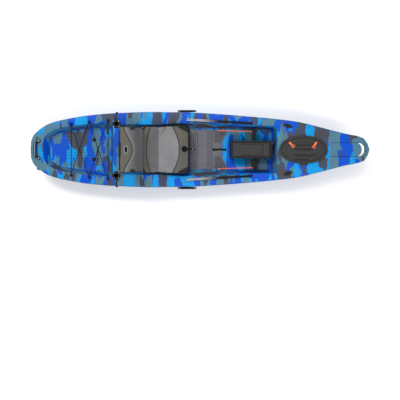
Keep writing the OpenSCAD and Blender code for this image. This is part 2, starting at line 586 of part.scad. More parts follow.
module port_adjuster_rod() color([0.85, 0.4, 0.2]) adjuster_rod();
module starboard_adjuster_rod() color([0.85, 0.4, 0.2]) mirror([0, 1, 0]) adjuster_rod();

// Console ---------------------------------------------------------------------------------
module console_box() color([0.1, 0.1, 0.1]) difference() {
    union() {
        rounded_box(pod_x0, pod_x1, pod_w, pod_bottom, pod_top, 12);
        translate([pod_x1 - 4, -pod_w / 2, pod_top - 40]) cube([16, pod_w, 34]);
        for (y = [-pod_w / 2, pod_w / 2 - 30]) translate([pod_x1 - 1, y, pod_top - 34]) cube([18, 30, 46]);
        for (y = [-pod_w / 2, pod_w / 2 - 30]) translate([pod_hinge_x, y, pod_hinge_z])
            rotate([-90, 0, 0]) cylinder(h = 30, r = 8);
    }
    rounded_box(pod_x0 + pod_wall, pod_x1 - pod_wall, pod_w - 2 * pod_wall, pod_bottom + pod_wall, pod_top
        + 1, 9);
    translate([pod_hinge_x, -pod_w, pod_hinge_z]) rotate([-90, 0, 0])
        cylinder(h = 2 * pod_w, r = hinge_r + pin_gap);
}
module console_gasket() color([0.08, 0.08, 0.08]) difference() {
    rounded_box(pod_x0 + 0.5, pod_x1 - 2, pod_w - 1, pod_top + 0.05, pod_top + 2.5, 12);
    rounded_box(pod_x0 + 6, pod_x1 - 6, pod_w - 12, pod_top - 1, pod_top + 4, 9);
}
module console_hinge_pin() color([0.75, 0.75, 0.77]) translate([pod_hinge_x, -pod_w / 2 + 1, pod_hinge_z])
    rotate([-90, 0, 0]) cylinder(h = pod_w - 2, r = hinge_r);
module console_lid() color([0.24, 0.24, 0.25]) difference() {
    union() {
        rounded_box(pod_x0 - 3, pod_x1 - 3, pod_w, pod_top + 3, pod_top + 3 + pod_lid_t, 14);
        translate([pod_x1 - 20, -pod_w / 2 + 34, pod_top + 3]) cube([29, pod_w - 68, pod_lid_t]);
        translate([pod_hinge_x, -pod_w / 2 + 34, pod_hinge_z]) rotate([-90, 0, 0])
            cylinder(h = pod_w - 68, r = 8);
    }
    translate([pod_hinge_x, -pod_w, pod_hinge_z]) rotate([-90, 0, 0])
        cylinder(h = 2 * pod_w, r = hinge_r + pin_gap);
    difference() {
        rounded_box(pod_x0 + 120, pod_x1 - 92, 0.62 * pod_w, pod_top + pod_lid_t, pod_top + pod_lid_t + 9,
            26);
        rounded_box(pod_x0 + 128, pod_x1 - 100, 0.62 * pod_w - 16, pod_top + pod_lid_t - 1, pod_top
            + pod_lid_t + 10, 22);
    }
}

// Seat ------------------------------------------------------------------------------------
// Side line of the pan, from the back hinge forward over the raised front edge.
pan_line = [[pivot_x, pivot_z - 4], [pivot_x + 70, pivot_z - 18], [pivot_x + 190, pivot_z - 22],
    [pivot_x + 320, pivot_z + 14],
    [pivot_x + 410, pivot_z + 40], [pivot_x + 470, pivot_z + 30], [pivot_x + 520, pivot_z - 8],
        [pivot_x + 540, pivot_z - 36]];
pan_side = smooth_line([for (p = pan_line) [p[0], 0, p[1]]], 3);
pan_front = pan_line[len(pan_line) - 1];
front_r = 60;
lug_y = seat_y - seat_tube / 2 + 1;      // plates of the pan that carry the back's hinge
hinge_z = pivot_z + 20;
frame_path = concat([for (p = pan_side) [p[0], seat_y, p[2]]],
    [for (a = [20 : 20 : 80]) [pan_front[0] + front_r * 0.35 * sin(a), seat_y - front_r * (1 - cos(a)),
        pan_front[1] - 14 * sin(a)]],
    [for (a = [80 : -20 : 20]) [pan_front[0] + front_r * 0.35 * sin(a), -seat_y + front_r * (1 - cos(a)),
        pan_front[1] - 14 * sin(a)]],
    [for (i = [len(pan_side) - 1 : -1 : 0]) [pan_side[i][0], -seat_y, pan_side[i][2]]]);
module seat_pan_frame() color([0.05, 0.05, 0.05]) {
    sweep(frame_path, round_section(seat_tube / 2));
    rod([pivot_x + 30, -seat_y + seat_tube / 2 - 2, pivot_z - 15],
        [pivot_x + 30, seat_y - seat_tube / 2 + 2, pivot_z - 15], seat_tube / 2 - 2);
    both_sides() difference() {
        translate([pivot_x - 16, lug_y - 3, pivot_z - 6]) cube([32, 6, hinge_z - pivot_z + 22]);
        translate([pivot_x, lug_y, hinge_z]) rotate([90, 0, 0])
            cylinder(h = 20, r = pivot_r + pin_gap, center = true);
    }
}
// Band of fabric along a side line, as wide as it fits between the tubes.
module sling(line, width) {
    p = smooth_line([for (q = line) [q[0], 0, q[1]]], 3);
    sweep(p, flat_section(width, sling_t));
}
sling_gap = 7;
pan_sling_line = [for (i = [1 : len(pan_line) - 1])
    [pan_line[i][0] + (i == 1 ? -12 : 0), pan_line[i][1] + 9 - (i > 1 && i < 4 ? 10 : 0)]];
module seat_pan_sling() color([0.45, 0.44, 0.44])
    sling(pan_sling_line, 2 * seat_y - seat_tube - 2 * sling_gap);
function pan_slope(i) = atan2(pan_line[i - 1][1] - pan_line[i + 1][1], pan_line[i + 1][0]
    - pan_line[i - 1][0]);
module seat_corner_caps() color([0.05, 0.05, 0.05]) both_sides() for (i = [5, 6])
    translate([pan_line[i][0], seat_y, pan_line[i][1]]) rotate([0, 90 + pan_slope(i), 0]) difference() {
        cylinder(h = 26, r = seat_tube / 2 + 5, center = true);
        cylinder(h = 40, r = seat_tube / 2 + 1.5, center = true);
    }
leg_y = floor_half(-500) - 36;
foot_z = cockpit_floor + socket_h;
leg_top = [pan_line[1], pan_line[4]];        // places under the pan tube that the legs carry
leg_lean = [-20, 30];
leg_r = 9;
foot_r = 10;
rail_z = foot_z + foot_r + 1;
module seat_legs() color([0.05, 0.05, 0.05]) both_sides() {
    for (i = [0, 1]) rod([leg_top[i][0], seat_y - 4, leg_top[i][1] - seat_tube / 2 - 3.5],
        [leg_top[i][0] + leg_lean[i], leg_y, rail_z], leg_r);
    rod([leg_top[0][0] - 50, leg_y, rail_z], [leg_top[1][0] + 60, leg_y, rail_z], foot_r);
}
module seat_sockets() color([0.06, 0.06, 0.06]) both_sides() for (i = [0, 1])
    translate([leg_top[i][0] + leg_lean[i], leg_y, cockpit_floor + pad_clear]) difference() {
    translate([-24, -22, 0]) cube([48, 22 + socket_out, socket_h + foot_r + 3]);
    translate([-30, 0, socket_h + foot_r + 1]) rotate([0, 90, 0]) cylinder(h = 60, r = foot_r + touch);
    translate([-30, -foot_r - touch, socket_h + foot_r + 1]) cube([60, 2 * foot_r + 2 * touch, 20]);
}
// Pull ring that lies on the front slope of the pan, and its strap over the front bar.
ring_x = pan_line[5][0] + 26;
ring_z = pan_line[5][1] + 14;
module seat_pull_strap() color([0.03, 0.03, 0.03]) {
    translate([ring_x, 8, ring_z]) rotate([0, 39, 0]) rotate_extrude($fn = 32) translate([27, 0])
        circle(4.5, $fn = 16);
    sweep(smooth_line([[ring_x + 17, 8, ring_z - 9], [pan_front[0] + 4, 8, pan_front[1] + 34],
        [pan_front[0] + 42, 7, pan_front[1] + 2],
        [pan_front[0] + 58, 5, pan_front[1] - 44], [pan_front[0] + 92, 2, pan_front[1] - 100]], 4),
            flat_section(18, 4));
}
module seat_pivot_pins() color([0.7, 0.7, 0.72]) both_sides() translate([pivot_x, lug_y - 22, hinge_z])
    rotate([-90, 0, 0]) {
    translate([0, 0, -5]) cylinder(h = 5, r = pivot_r + 5);
    cylinder(h = 30, r = pivot_r);
    translate([0, 0, 26]) cylinder(h = 5, r = pivot_r + 3);
}
back_y = seat_y - 26;
// Side line of the back, up from the hinge and over to the top bar.
back_line = [[pivot_x, hinge_z + 15], [pivot_x - 4, hinge_z + 80],
    [pivot_x - 18, hinge_z + 0.46 * back_h], [pivot_x - 38, hinge_z + 0.66 * back_h],
    [pivot_x - 60, hinge_z + 0.8 * back_h], [pivot_x - 102, hinge_z + 0.9 * back_h],
        [pivot_x - 172, hinge_z + 0.965 * back_h]];
back_side = smooth_line([for (p = back_line) [p[0], 0, p[1]]], 3);
back_end = back_line[len(back_line) - 1];
back_path = concat([for (p = back_side) [p[0], back_y, p[2]]],
    [for (a = [20 : 20 : 80]) [back_end[0] - 26 * sin(a), back_y - 50 * (1 - cos(a)), back_end[1] + 6
        * sin(a)]],
    [for (a = [80 : -20 : 20]) [back_end[0] - 26 * sin(a), -back_y + 50 * (1 - cos(a)), back_end[1] + 6
        * sin(a)]],
    [for (i = [len(back_side) - 1 : -1 : 0]) [back_side[i][0], -back_y, back_side[i][2]]]);
module seat_back_frame() color([0.05, 0.05, 0.05]) {
    sweep(back_path, round_section(seat_tube / 2 - 1));
    both_sides() difference() {
        translate([pivot_x, back_y, hinge_z]) rotate([90, 0, 0]) cylinder(h = 14, r = 17, center = true);
        translate([pivot_x, back_y, hinge_z]) rotate([90, 0, 0])
            cylinder(h = 40, r = pivot_r + pin_gap, center = true);
    }
    rod([back_line[1][0], -back_y + 9, back_line[1][1]], [back_line[1][0], back_y - 9, back_line[1][1]], 8);
}
back_sling_line = [for (i = [1 : len(back_line) - 1])
    [back_line[i][0] + (i < 5 ? 4 : 0), back_line[i][1] + (i == 1 ? 20 : 0)]];
module seat_back_sling() color([0.45, 0.44, 0.44])
    sling(back_sling_line, 2 * back_y - seat_tube - 2 * sling_gap);
module seat_back_grip() color([0.04, 0.04, 0.04]) difference() {
    rod([back_end[0] - 26, -80, back_end[1] + 6], [back_end[0] - 26, 80, back_end[1] + 6], seat_tube / 2 + 3);
    rod([back_end[0] - 26, -200, back_end[1] + 6], [back_end[0] - 26, 200, back_end[1] + 6], seat_tube / 2);
}
// Webbing from the bend of the back down to the side of the pan.
strap_y = back_y + seat_tube / 2 + 7;
strap_top = [back_line[4][0] + 6, strap_y, back_line[4][1] + 4];
strap_low = [pivot_x + 276, seat_y - 2, pan_line[3][1] + 17];
module recline_strap() sweep([for (s = [0 : 0.25 : 1]) mix(strap_top, strap_low, s)], flat_section(4, 24));
module port_recline_strap() color([0.03, 0.03, 0.03]) recline_strap();
module starboard_recline_strap() color([0.03, 0.03, 0.03]) mirror([0, 1, 0]) recline_strap();
buckle_at = mix(strap_top, strap_low, 0.78);
strap_slope = atan2(strap_top[2] - strap_low[2], strap_low[0] - strap_top[0]);
module recline_buckles() color([0.04, 0.04, 0.04]) both_sides() translate(buckle_at)
    rotate([0, strap_slope, 0]) difference() {
    cube([40, 12, 34], center = true);
    cube([60, 5.6, 26], center = true);
}
module stand_assist_strap() color([0.03, 0.03, 0.03]) {
    translate([pad_x1 - 30, 0, cockpit_floor + pad_clear]) cylinder(h = 9, r = 15);
    sweep(smooth_line([[pad_x1 - 44, 0, cockpit_floor + pad_t + 4],
        [pad_x1 - 100, 3, cockpit_floor + pad_t + 4.5],
        [pad_x1 - 150, -3, cockpit_floor + pad_t + 4], [pad_x1 - 190, 0, cockpit_floor + pad_t + 4.5]],
            4), flat_section(22, 5));
}

// Plugs and fasteners ---------------------------------------------------------------------
module drain_plug() color([0.05, 0.05, 0.05]) at_drain() {
    translate([0, 0, -26]) cylinder(h = 30, r = drain_r - 1);
    difference() {
        translate([0, 0, 3]) cylinder(h = 7, r = drain_r + 7);
        translate([-3, -30, 7]) cube([6, 60, 10]);
    }
}
module drain_plug_seal() color([0.1, 0.1, 0.1]) at_drain() difference() {
    cylinder(h = 2.6, r = drain_r + 5);
    translate([0, 0, -1]) cylinder(h = 5, r = drain_r - 0.5);
}
module scupper_plug() translate([scupper_x, scupper_y, tank_floor]) difference() {
    union() {
        translate([0, 0, -46]) cylinder(h = 47, r1 = scupper_d / 2 - 6, r2 = scupper_d / 2 - 0.6);
        translate([0, 0, 1]) cylinder(h = 4, r = scupper_d / 2 + 7);
        translate([0, 0, 5]) rotate([90, 0, 0]) cylinder(h = 8, r = 13, center = true);
    }
    translate([0, 0, 9]) rotate([90, 0, 0]) cylinder(h = 20, r = 6, center = true);
}
module port_scupper_plug() color([0.04, 0.04, 0.04]) scupper_plug();
module starboard_scupper_plug() color([0.04, 0.04, 0.04]) mirror([0, 1, 0]) scupper_plug();
module screw() {
    cylinder(h = 2.5, r = 4.5);
}
module deck_screws() color([0.8, 0.8, 0.82]) both_sides() {
    for (a = [45 : 90 : 315]) translate([rod_x + 42 * cos(a), rod_y + 42 * sin(a), rod_deck + 5.1]) screw();
    for (e = [-1, 1]) translate([handle_x + e * handle_l / 2, side_y + 7.2, anchor_z + 10])
        rotate([-90, 0, 0]) screw();
}

hull_shell();
deck_pad();
port_gear_track();
starboard_gear_track();
port_rod_holder();
starboard_rod_holder();
tank_well_bungee();
bungee_pad_eyes();
stern_handle();
stern_handle_bolts();
rudder_mount();
skid_plate();
hatch_rim();
hatch_gasket();
hatch_tub();
hatch_hinge_pin();
hatch_lid();
rear_hatch_latch();
front_hatch_latch();
bow_cleats();
paddle_hooks();
side_handle_anchors();
port_handle_strap();
port_handle_grip();
starboard_handle_strap();
starboard_handle_grip();
port_foot_track();
starboard_foot_track();
port_foot_pedal();
starboard_foot_pedal();
port_adjuster_rod();
starboard_adjuster_rod();
console_box();
console_gasket();
console_hinge_pin();
console_lid();
seat_sockets();
seat_legs();
seat_pan_frame();
seat_pan_sling();
seat_corner_caps();
seat_pull_strap();
seat_pivot_pins();
seat_back_frame();
seat_back_sling();
seat_back_grip();
port_recline_strap();
starboard_recline_strap();
recline_buckles();
stand_assist_strap();
drain_plug();
drain_plug_seal();
port_scupper_plug();
starboard_scupper_plug();
deck_screws();
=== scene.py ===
"""Sit-on-top fishing kayak: materials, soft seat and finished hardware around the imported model."""
import bpy
import bmesh
import json
import math
from mathutils import Matrix, Vector, noise
from mathutils.bvhtree import BVHTree


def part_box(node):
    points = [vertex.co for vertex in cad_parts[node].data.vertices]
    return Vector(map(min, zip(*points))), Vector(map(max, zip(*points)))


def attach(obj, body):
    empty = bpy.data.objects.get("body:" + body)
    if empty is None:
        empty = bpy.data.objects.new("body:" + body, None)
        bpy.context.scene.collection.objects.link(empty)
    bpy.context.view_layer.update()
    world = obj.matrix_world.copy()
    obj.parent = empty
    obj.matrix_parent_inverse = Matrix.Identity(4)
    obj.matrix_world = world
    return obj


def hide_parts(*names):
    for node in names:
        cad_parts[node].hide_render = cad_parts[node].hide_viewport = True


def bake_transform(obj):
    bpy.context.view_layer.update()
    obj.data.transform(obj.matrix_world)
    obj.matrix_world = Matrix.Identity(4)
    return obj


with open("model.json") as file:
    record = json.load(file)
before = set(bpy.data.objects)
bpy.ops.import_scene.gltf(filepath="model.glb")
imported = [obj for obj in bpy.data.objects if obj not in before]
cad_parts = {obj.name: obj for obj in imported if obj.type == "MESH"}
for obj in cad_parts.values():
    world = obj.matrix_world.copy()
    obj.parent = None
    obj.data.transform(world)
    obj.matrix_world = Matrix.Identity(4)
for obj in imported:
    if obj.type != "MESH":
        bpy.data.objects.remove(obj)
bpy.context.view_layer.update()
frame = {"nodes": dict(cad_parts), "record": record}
bpy.context.scene.view_settings.view_transform = "Standard"
SHARP = math.radians(35)      # edges sharper than this stay crisp
DOWN = (0, 0, -1)
FLAT = math.radians(1.5)      # facets nearer to level than this are joined


# Camera, light and floor -------------------------------------------------------------------
CAMERA_HEIGHT = 5.38
CAMERA_LENS = 37.2            # in millimetres
CAMERA_SHIFT = -0.126
AMBIENT = 0.6
FLOOR_HALF = 30
# Each light's name, place, width in metres and power in watts. They stand to the sides, so that
# level black plastic doesn't mirror them.
LIGHTS = (("key", (-2.6, 3.4, 6.4), 2.2, 250), ("fill", (3.6, -3.8, 5.2), 3.6, 110),
          ("side_fill", (0.2, -2.7, 6.6), 1.8, 95), ("side_fill", (0.2, 2.7, 6.6), 1.8, 95))


def add_camera():
    """Straight down on the deck, bow to the right."""
    data = bpy.data.cameras.new("deck_camera")
    data.lens = CAMERA_LENS
    data.sensor_width = 36
    data.shift_y = CAMERA_SHIFT
    data.clip_end = 60
    camera = bpy.data.objects.new("deck_camera", data)
    camera.location = (0, 0, CAMERA_HEIGHT)
    bpy.context.collection.objects.link(camera)
    bpy.context.scene.camera = camera


def add_light(name, place, size, power):
    data = bpy.data.lights.new(name, "AREA")
    data.shape = "DISK"
    data.size = size
    data.energy = power
    light = bpy.data.objects.new(name, data)
    light.location = place
    light.rotation_euler = (Vector((0, 0, 0.2)) - Vector(place)).to_track_quat("-Z", "Y").to_euler()
    bpy.context.collection.objects.link(light)


def add_stage():
    world = bpy.data.worlds.new("studio")
    world.use_nodes = True
    world.node_tree.nodes["Background"].inputs["Color"].default_value = (1, 1, 1, 1)
    world.node_tree.nodes["Background"].inputs["Strength"].default_value = AMBIENT
    bpy.context.scene.world = world
    for light in LIGHTS:
        add_light(*light)
    bm = bmesh.new()
    bmesh.ops.create_grid(bm, x_segments=1, y_segments=1, size=FLOOR_HALF)
    mesh = bpy.data.meshes.new("floor")
    bm.to_mesh(mesh)
    bm.free()
    floor = bpy.data.objects.new("floor", mesh)
    bpy.context.collection.objects.link(floor)
    paper = {"colour": (0.93, 0.93, 0.935, 1), "rough": 0.9}
    mesh.materials.append(material("floor_paper", lambda s: paper))


# Shader arithmetic -------------------------------------------------------------------------
class Shade:
    """A socket of a material's node tree that takes part in arithmetic."""

    def __init__(self, tree, out=None):
        self.tree = tree
        self.out = out

    def make(self, kind, settings=None, stops=None, out=0, **inputs):
        """Any node: its settings, a ramp's stops, then the values or links of its sockets."""
        node = self.tree.nodes.new("ShaderNode" + kind)
        for key, value in (settings or {}).items():
            setattr(node, key, value)
        if stops:
            while len(node.color_ramp.elements) < len(stops):
                node.color_ramp.elements.new(1)
            for element, (at, colour) in zip(node.color_ramp.elements, stops):
                element.position = at
                element.color = colour
        for key, value in inputs.items():
            number = key[1:].isdigit()
            socket = node.inputs[int(key[1:]) if number else key.replace("_", " ")]
            if isinstance(value, Shade):
                self.tree.links.new(value.out, socket)
            else:
                socket.default_value = value
        return Shade(self.tree, node.outputs[out])

    def maths(self, operation, a, b=0.0):
        return self.make("Math", {"operation": operation}, i0=a, i1=b)

    def __add__(self, other):
        return self.maths("ADD", self, other)

    def __radd__(self, other):
        return self.maths("ADD", other, self)

    def __sub__(self, other):
        return self.maths("SUBTRACT", self, other)

    def __rsub__(self, other):
        return self.maths("SUBTRACT", other, self)

    def __mul__(self, other):
        return self.maths("MULTIPLY", self, other)

    def __rmul__(self, other):
        return self.maths("MULTIPLY", other, self)

    def __abs__(self):
        return self.maths("ABSOLUTE", self)

    def __pow__(self, other):
        return self.maths("POWER", self, other)

    def most(self, other):
        return self.maths("MAXIMUM", self, other)

    def wave(self, length):
        """Sine of a length in metres, from -1 to 1."""
        return self.maths("SINE", self * (2 * math.pi / length))

    def step(self, low, high):
        """From 0 at low to 1 at high, with a soft start and end."""
        return self.make("MapRange", {"interpolation_type": "SMOOTHSTEP"}, Value=self,
                         From_Min=low, From_Max=high)

    def place(self):
        return self.make("TexCoord", out=3)

    def axes(self, vector):
        return [self.make("SeparateXYZ", out=i, Vector=vector) for i in range(3)]

    def join(self, x, y, z):
        return self.make("CombineXYZ", X=x, Y=y, Z=z)

    def noise(self, vector, scale, detail=2.0, rough=0.5, out=0):
        return self.make("TexNoise", Vector=vector, Scale=scale, Detail=detail, Roughness=rough, out=out)

    def mix(self, share, a, b):
        return self.make("Mix", {"data_type": "RGBA"}, out=2, i0=share, i6=a, i7=b)


def material(name, build, **shader):
    """Principled material: build gives its colour, roughness and bump height."""
    made = bpy.data.materials.new(name)
    made.use_nodes = True
    tree = made.node_tree
    tree.nodes.clear()
    shade = Shade(tree)
    facts = build(shade)
    inputs = {"Base_Color": facts["colour"], "Roughness": facts["rough"], **shader}
    if "height" in facts:
        inputs["Normal"] = shade.make("Bump", Height=facts["height"], Strength=facts.get("strength", 0.5),
                                      Distance=facts.get("depth", 0.001))
    surface = shade.make("BsdfPrincipled", **inputs)
    output = tree.nodes.new("ShaderNodeOutputMaterial")
    tree.links.new(surface.out, output.inputs["Surface"])
    return made


# Finishes ----------------------------------------------------------------------------------
CYAN = (0.0, 0.25, 0.6, 1)
ROYAL = (0.0, 0.06, 0.47, 1)
SLATE = (0.07, 0.165, 0.21, 1)
GRAPHITE = (0.05, 0.05, 0.056, 1)


def mottled_hull(s):
    """Swirled moulding colours: blocks across the deck, long streaks along the sides."""
    x, y, z = s.axes(s.place())
    up = abs(s.axes(s.make("NewGeometry", out=1))[2]).step(0.35, 0.75).most(x.step(1.86, 1.92))
    across = s.join(x * 8.6, y * 2.5, z * 3.0)
    along = s.join(x * 2.5, y * 3.0 + 7.0, z * 9.5)
    wobble = s.noise(s.place(), 5.0, 2.0)
    shift = s.make("VectorMath", {"operation": "SCALE"}, Vector=s.join(wobble, wobble, wobble), Scale=0.55)
    flow = s.make("Mix", {"data_type": "VECTOR"}, out=1, i0=up, i4=along, i5=across)
    streaks = s.make("VectorMath", {"operation": "ADD"}, i0=flow, i1=shift)

    def patches(offset, low, scale=1.0):
        moved = s.make("VectorMath", {"operation": "ADD"}, i0=streaks, i1=(offset, -offset, offset))
        return s.noise(moved, scale, 1.5, 0.45).step(low, low + 0.022)

    tone = s.mix(patches(3.0, 0.47), CYAN, ROYAL)
    tone = s.mix(patches(11.0, 0.53), tone, SLATE)
    tone = s.mix(patches(23.0, 0.57), tone, GRAPHITE)
    cloud = s.noise(s.place(), 9.0, 4.0).step(0.35, 0.65)
    tone = s.mix(cloud * 0.16, tone, (0.001, 0.09, 0.34, 1))
    grain = s.noise(s.place(), 900.0, 3.0)
    scuffs = s.noise(s.join(x * 3.0, y * 40.0, z * 40.0), 5.0, 5.0, 0.7).step(0.58, 0.72)
    return {"colour": tone, "rough": 0.4 + grain * 0.12 + scuffs * 0.1,
            "height": grain * 0.4 + s.noise(s.place(), 14.0, 3.0) * 1.2, "strength": 0.25, "depth": 0.002}


def moulded(base, rough=0.5, depth=0.0006):
    """Grained injection moulding with slight wear."""
    def build(s):
        grain = s.noise(s.place(), 700.0, 3.0)
        worn = s.noise(s.place(), 22.0, 5.0, 0.65).step(0.5, 0.75)
        lighter = tuple(min(1, c * 1.7 + 0.006) for c in base[:3]) + (1,)
        return {"colour": s.mix(worn * 0.55, base, lighter), "rough": rough + worn * 0.12 + grain * 0.08,
                "height": grain, "strength": 0.5, "depth": depth}
    return build


def metal(base, rough, streak=900.0):
    def build(s):
        x, y, z = s.axes(s.place())
        brushed = s.noise(s.join(x * 4.0, y * streak, z * streak), 1.0, 3.0)
        lighter = tuple(min(1, c * 1.5 + 0.02) for c in base[:3]) + (1,)
        return {"colour": s.mix(brushed, base, lighter), "rough": rough + brushed * 0.15, "height": brushed,
                "strength": 0.3, "depth": 0.0002}
    return build


def anodised(s):
    """Extruded track: bright aft, where its sheen is a painted highlight; dark forward."""
    x, y, z = s.axes(s.place())
    brushed = s.noise(s.join(x * 6.0, y * 900.0, z * 900.0), 1.0, 3.0)
    # Painted highlight: the track's aft end is coloured bright for its sheen.
    beyond_painted_highlight = (x + brushed * 0.05).step(0.02, 0.27)
    tone = s.mix(beyond_painted_highlight, (0.33, 0.32, 0.33, 1), (0.012, 0.012, 0.015, 1))
    return {"colour": tone, "rough": 0.36 + brushed * 0.15, "height": brushed, "strength": 0.3,
            "depth": 0.0002}


def webbing(base, pitch=0.0032):
    """Flat webbing with ribs across it."""
    def build(s):
        x, y, z = s.axes(s.place())
        ribs = (x + z).wave(pitch) * 0.5 + y.wave(pitch * 0.7) * 0.5
        lighter = tuple(c * 2.4 + 0.004 for c in base[:3]) + (1,)
        return {"colour": s.mix(ribs.step(-0.6, 0.9), base, lighter), "rough": 0.85, "height": ribs,
                "strength": 0.7, "depth": 0.0008}
    return build


def foam(s):
    """Closed-cell deck foam: fine pores and a brushed nap."""
    pores = s.noise(s.place(), 420.0, 4.0, 0.7)
    cloud = s.noise(s.place(), 10.0, 4.0)
    tone = s.mix(pores.step(0.3, 0.75), (0.082, 0.082, 0.098, 1), (0.122, 0.122, 0.144, 1))
    tone = s.mix(cloud.step(0.35, 0.7) * 0.3, tone, (0.15, 0.15, 0.165, 1))
    return {"colour": tone, "rough": 0.85, "height": pores, "strength": 0.6, "depth": 0.001}


def cloth_weave(s, pitch):
    """A square weave's height from 0 to 1, and the place across the cloth."""
    x, y, z = s.axes(s.place())
    along = x + z * 0.9
    return (along.wave(pitch) * y.wave(pitch)) * 0.5 + 0.5, y


MESH_GREY = (0.118, 0.117, 0.124, 1)
TAUPE = (0.074, 0.07, 0.057, 1)
WEAVE = 0.0042         # between threads


def seat_cloth(panel, light, patches, rail):
    """Two fabrics: open mesh inside the piping, tight weave outside it, bound in black at the rails.

    panel, light and patches give the shares of mesh, of its paler part (on the back, painted light and shade)
    and of black reinforcement.
    """
    def build(s):
        weave, y = cloth_weave(s, WEAVE)
        holes = weave.step(0.62, 0.9)
        # On the back, the paler share of the mesh is painted light and shade.
        mesh = s.mix(light(s), MESH_GREY, (0.235, 0.232, 0.24, 1))
        mesh = s.mix(holes * 0.8, mesh, (0.05, 0.05, 0.055, 1))
        heather = s.noise(s.place(), 260.0, 3.0, 0.7).step(0.3, 0.7)
        plain = s.mix(heather, TAUPE, (0.118, 0.109, 0.09, 1))
        soft = s.noise(s.place(), 6.0, 3.0).step(0.3, 0.7)
        tone = s.mix(panel(s), plain, mesh)
        tone = s.mix(soft * 0.2, tone, (0.06, 0.06, 0.062, 1))
        edge = abs(y).step(rail + 0.003, rail + 0.005)
        tone = s.mix(patches(s).most(edge), tone, (0.012, 0.012, 0.013, 1))
        return {"colour": tone, "rough": 0.92, "height": weave + heather * 0.5, "strength": 0.8,
                "depth": 0.0011}
    return build


# Mesh helpers ------------------------------------------------------------------------------
def merged_copy(node):
    """A CAD node's mesh as a bmesh, with its doubles merged."""
    bm = bmesh.new()
    bm.from_mesh(frame["nodes"][node].data)
    bmesh.ops.remove_doubles(bm, verts=bm.verts, dist=1e-5)
    return bm


def piece(name, bm, finish, body, slot, *stands_for, smooth=True):
    """A finished piece: it rides on its body and stands for CAD nodes."""
    mesh = bpy.data.meshes.new(name)
    bm.to_mesh(mesh)
    bm.free()
    obj = bpy.data.objects.new(name, mesh)
    bpy.context.collection.objects.link(obj)
    mesh.materials.append(finish)
    if smooth:
        mesh.shade_smooth()
        mesh.set_sharp_from_angle(angle=SHARP)
    if stands_for:
        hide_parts(*stands_for)
    if body:
        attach(obj, body)
    return obj


def softened(obj, width, segments=2):
    """Rounds a piece's sharp edges."""
    bevel = obj.modifiers.new("rounded_edges", "BEVEL")
    bevel.width = width
    bevel.segments = segments
    bevel.limit_method = "ANGLE"
    bevel.angle_limit = SHARP
    bevel.harden_normals = True
    return obj


def tube(name, points, radius, finish, body, slot, closed=False):
    """Round bar or piping through points, as a mesh."""
    curve = bpy.data.curves.new(name, "CURVE")
    curve.dimensions = "3D"
    curve.bevel_depth = radius
    curve.bevel_resolution = 3
    curve.use_fill_caps = True
    spline = curve.splines.new("POLY")
    spline.points.add(len(points) - 1)
    for knot, place in zip(spline.points, points):
        knot.co = (*place, 1)
    spline.use_cyclic_u = closed
    holder = bpy.data.objects.new(name + "_path", curve)
    mesh = bpy.data.meshes.new_from_object(holder)
    bpy.data.objects.remove(holder)
    bm = bmesh.new()
    bm.from_mesh(mesh)
    bpy.data.meshes.remove(mesh)
    return piece(name, bm, finish, body, slot)


def scaled_at(place, size):
    """The transform that gives a unit shape its size and puts it at a place."""
    return Matrix.Translation(place) @ Matrix.Diagonal((*size, 1))


def plate(bm, outline, depth):
    """Adds a plate: a level outline, thickened by depth along Z."""
    face = bm.faces.new([bm.verts.new(point) for point in outline])
    grown = bmesh.ops.extrude_face_region(bm, geom=[face])
    corners = [v for v in grown["geom"] if isinstance(v, bmesh.types.BMVert)]
    bmesh.ops.translate(bm, verts=corners, vec=(0, 0, depth))
    bmesh.ops.recalc_face_normals(bm, faces=bm.faces)


def body_of(node):
    return next(body for body, nodes in frame["record"]["behaviour"]["bodies"].items() if node in nodes)


def slot_of(node):
    return next(part["material_slot"] for part in frame["record"]["subparts"] if part["node"] == node)


def dressed(node, finish, width=0.001):
    """The CAD shape of a hard piece with rounded edges and its finish."""
    bm = merged_copy(node)
    bmesh.ops.dissolve_limit(bm, angle_limit=FLAT, verts=bm.verts, edges=bm.edges)
    obj = piece("finished_" + node, bm, finish, body_of(node), slot_of(node), node)
    return softened(obj, width) if width else obj


# Seat --------------------------------------------------------------------------------------
RAIL_R = 0.012         # the seat's tubes
CLOTH = 0.0028         # cloth over a tube
SLING = 0.009          # the two layers and the foam between them
ACROSS = 44            # steps of a cover from rail to rail
TURN_IN = 0.07         # the cover's ends close on the frame over this length
ROLLS = (80, 55, 28)   # degrees of its turn round the frame at each end
WRAPS = (64, 36, 8, -20, -50, -76)   # degrees of its turn round a rail
RAIL_STEPS = 46        # stations along a rail


def surface_of(obj):
    """A piece's surface, to lay others on."""
    seen = obj.evaluated_get(bpy.context.evaluated_depsgraph_get())
    corners = [v.co.copy() for v in seen.data.vertices]
    return BVHTree.FromPolygons(corners, [list(p.vertices) for p in seen.data.polygons])


def rail_line(node, rail, eye, start, end):
    """The sitter's side of a frame's rail, met by rays from eye in the rail's own plane.

    The rays turn from start to end. All three points are (x, z).
    """
    surface = surface_of(frame["nodes"][node])
    origin = Vector((eye[0], rail, eye[1]))
    first, last = (math.atan2(p[1] - eye[1], p[0] - eye[0]) % (2 * math.pi) for p in (start, end))
    line = []
    for i in range(RAIL_STEPS + 1):
        angle = first + (last - first) * i / RAIL_STEPS
        hit = surface.ray_cast(origin, Vector((math.cos(angle), 0, math.sin(angle))))[0]
        if hit:
            line.append(Vector((hit.x, 0, hit.z)))
    return line


def smoothed(line, passes=6):
    for _ in range(passes):
        middle = [(a + b * 2 + c) / 4 for a, b, c in zip(line, line[1:], line[2:])]
        line = [line[0]] + middle + [line[-1]]
    return line


def ease(t):
    t = min(1.0, max(0.0, t))
    return t * t * (3 - 2 * t)


def pucker(y, run):
    """Small wrinkles of laced cloth, in metres, at y across it and run along it."""
    broad = noise.noise(Vector((y * 26, run * 9, 3.0))) * 0.0011
    return broad + noise.noise(Vector((y * 9, run * 30, 8.0))) * 0.0009


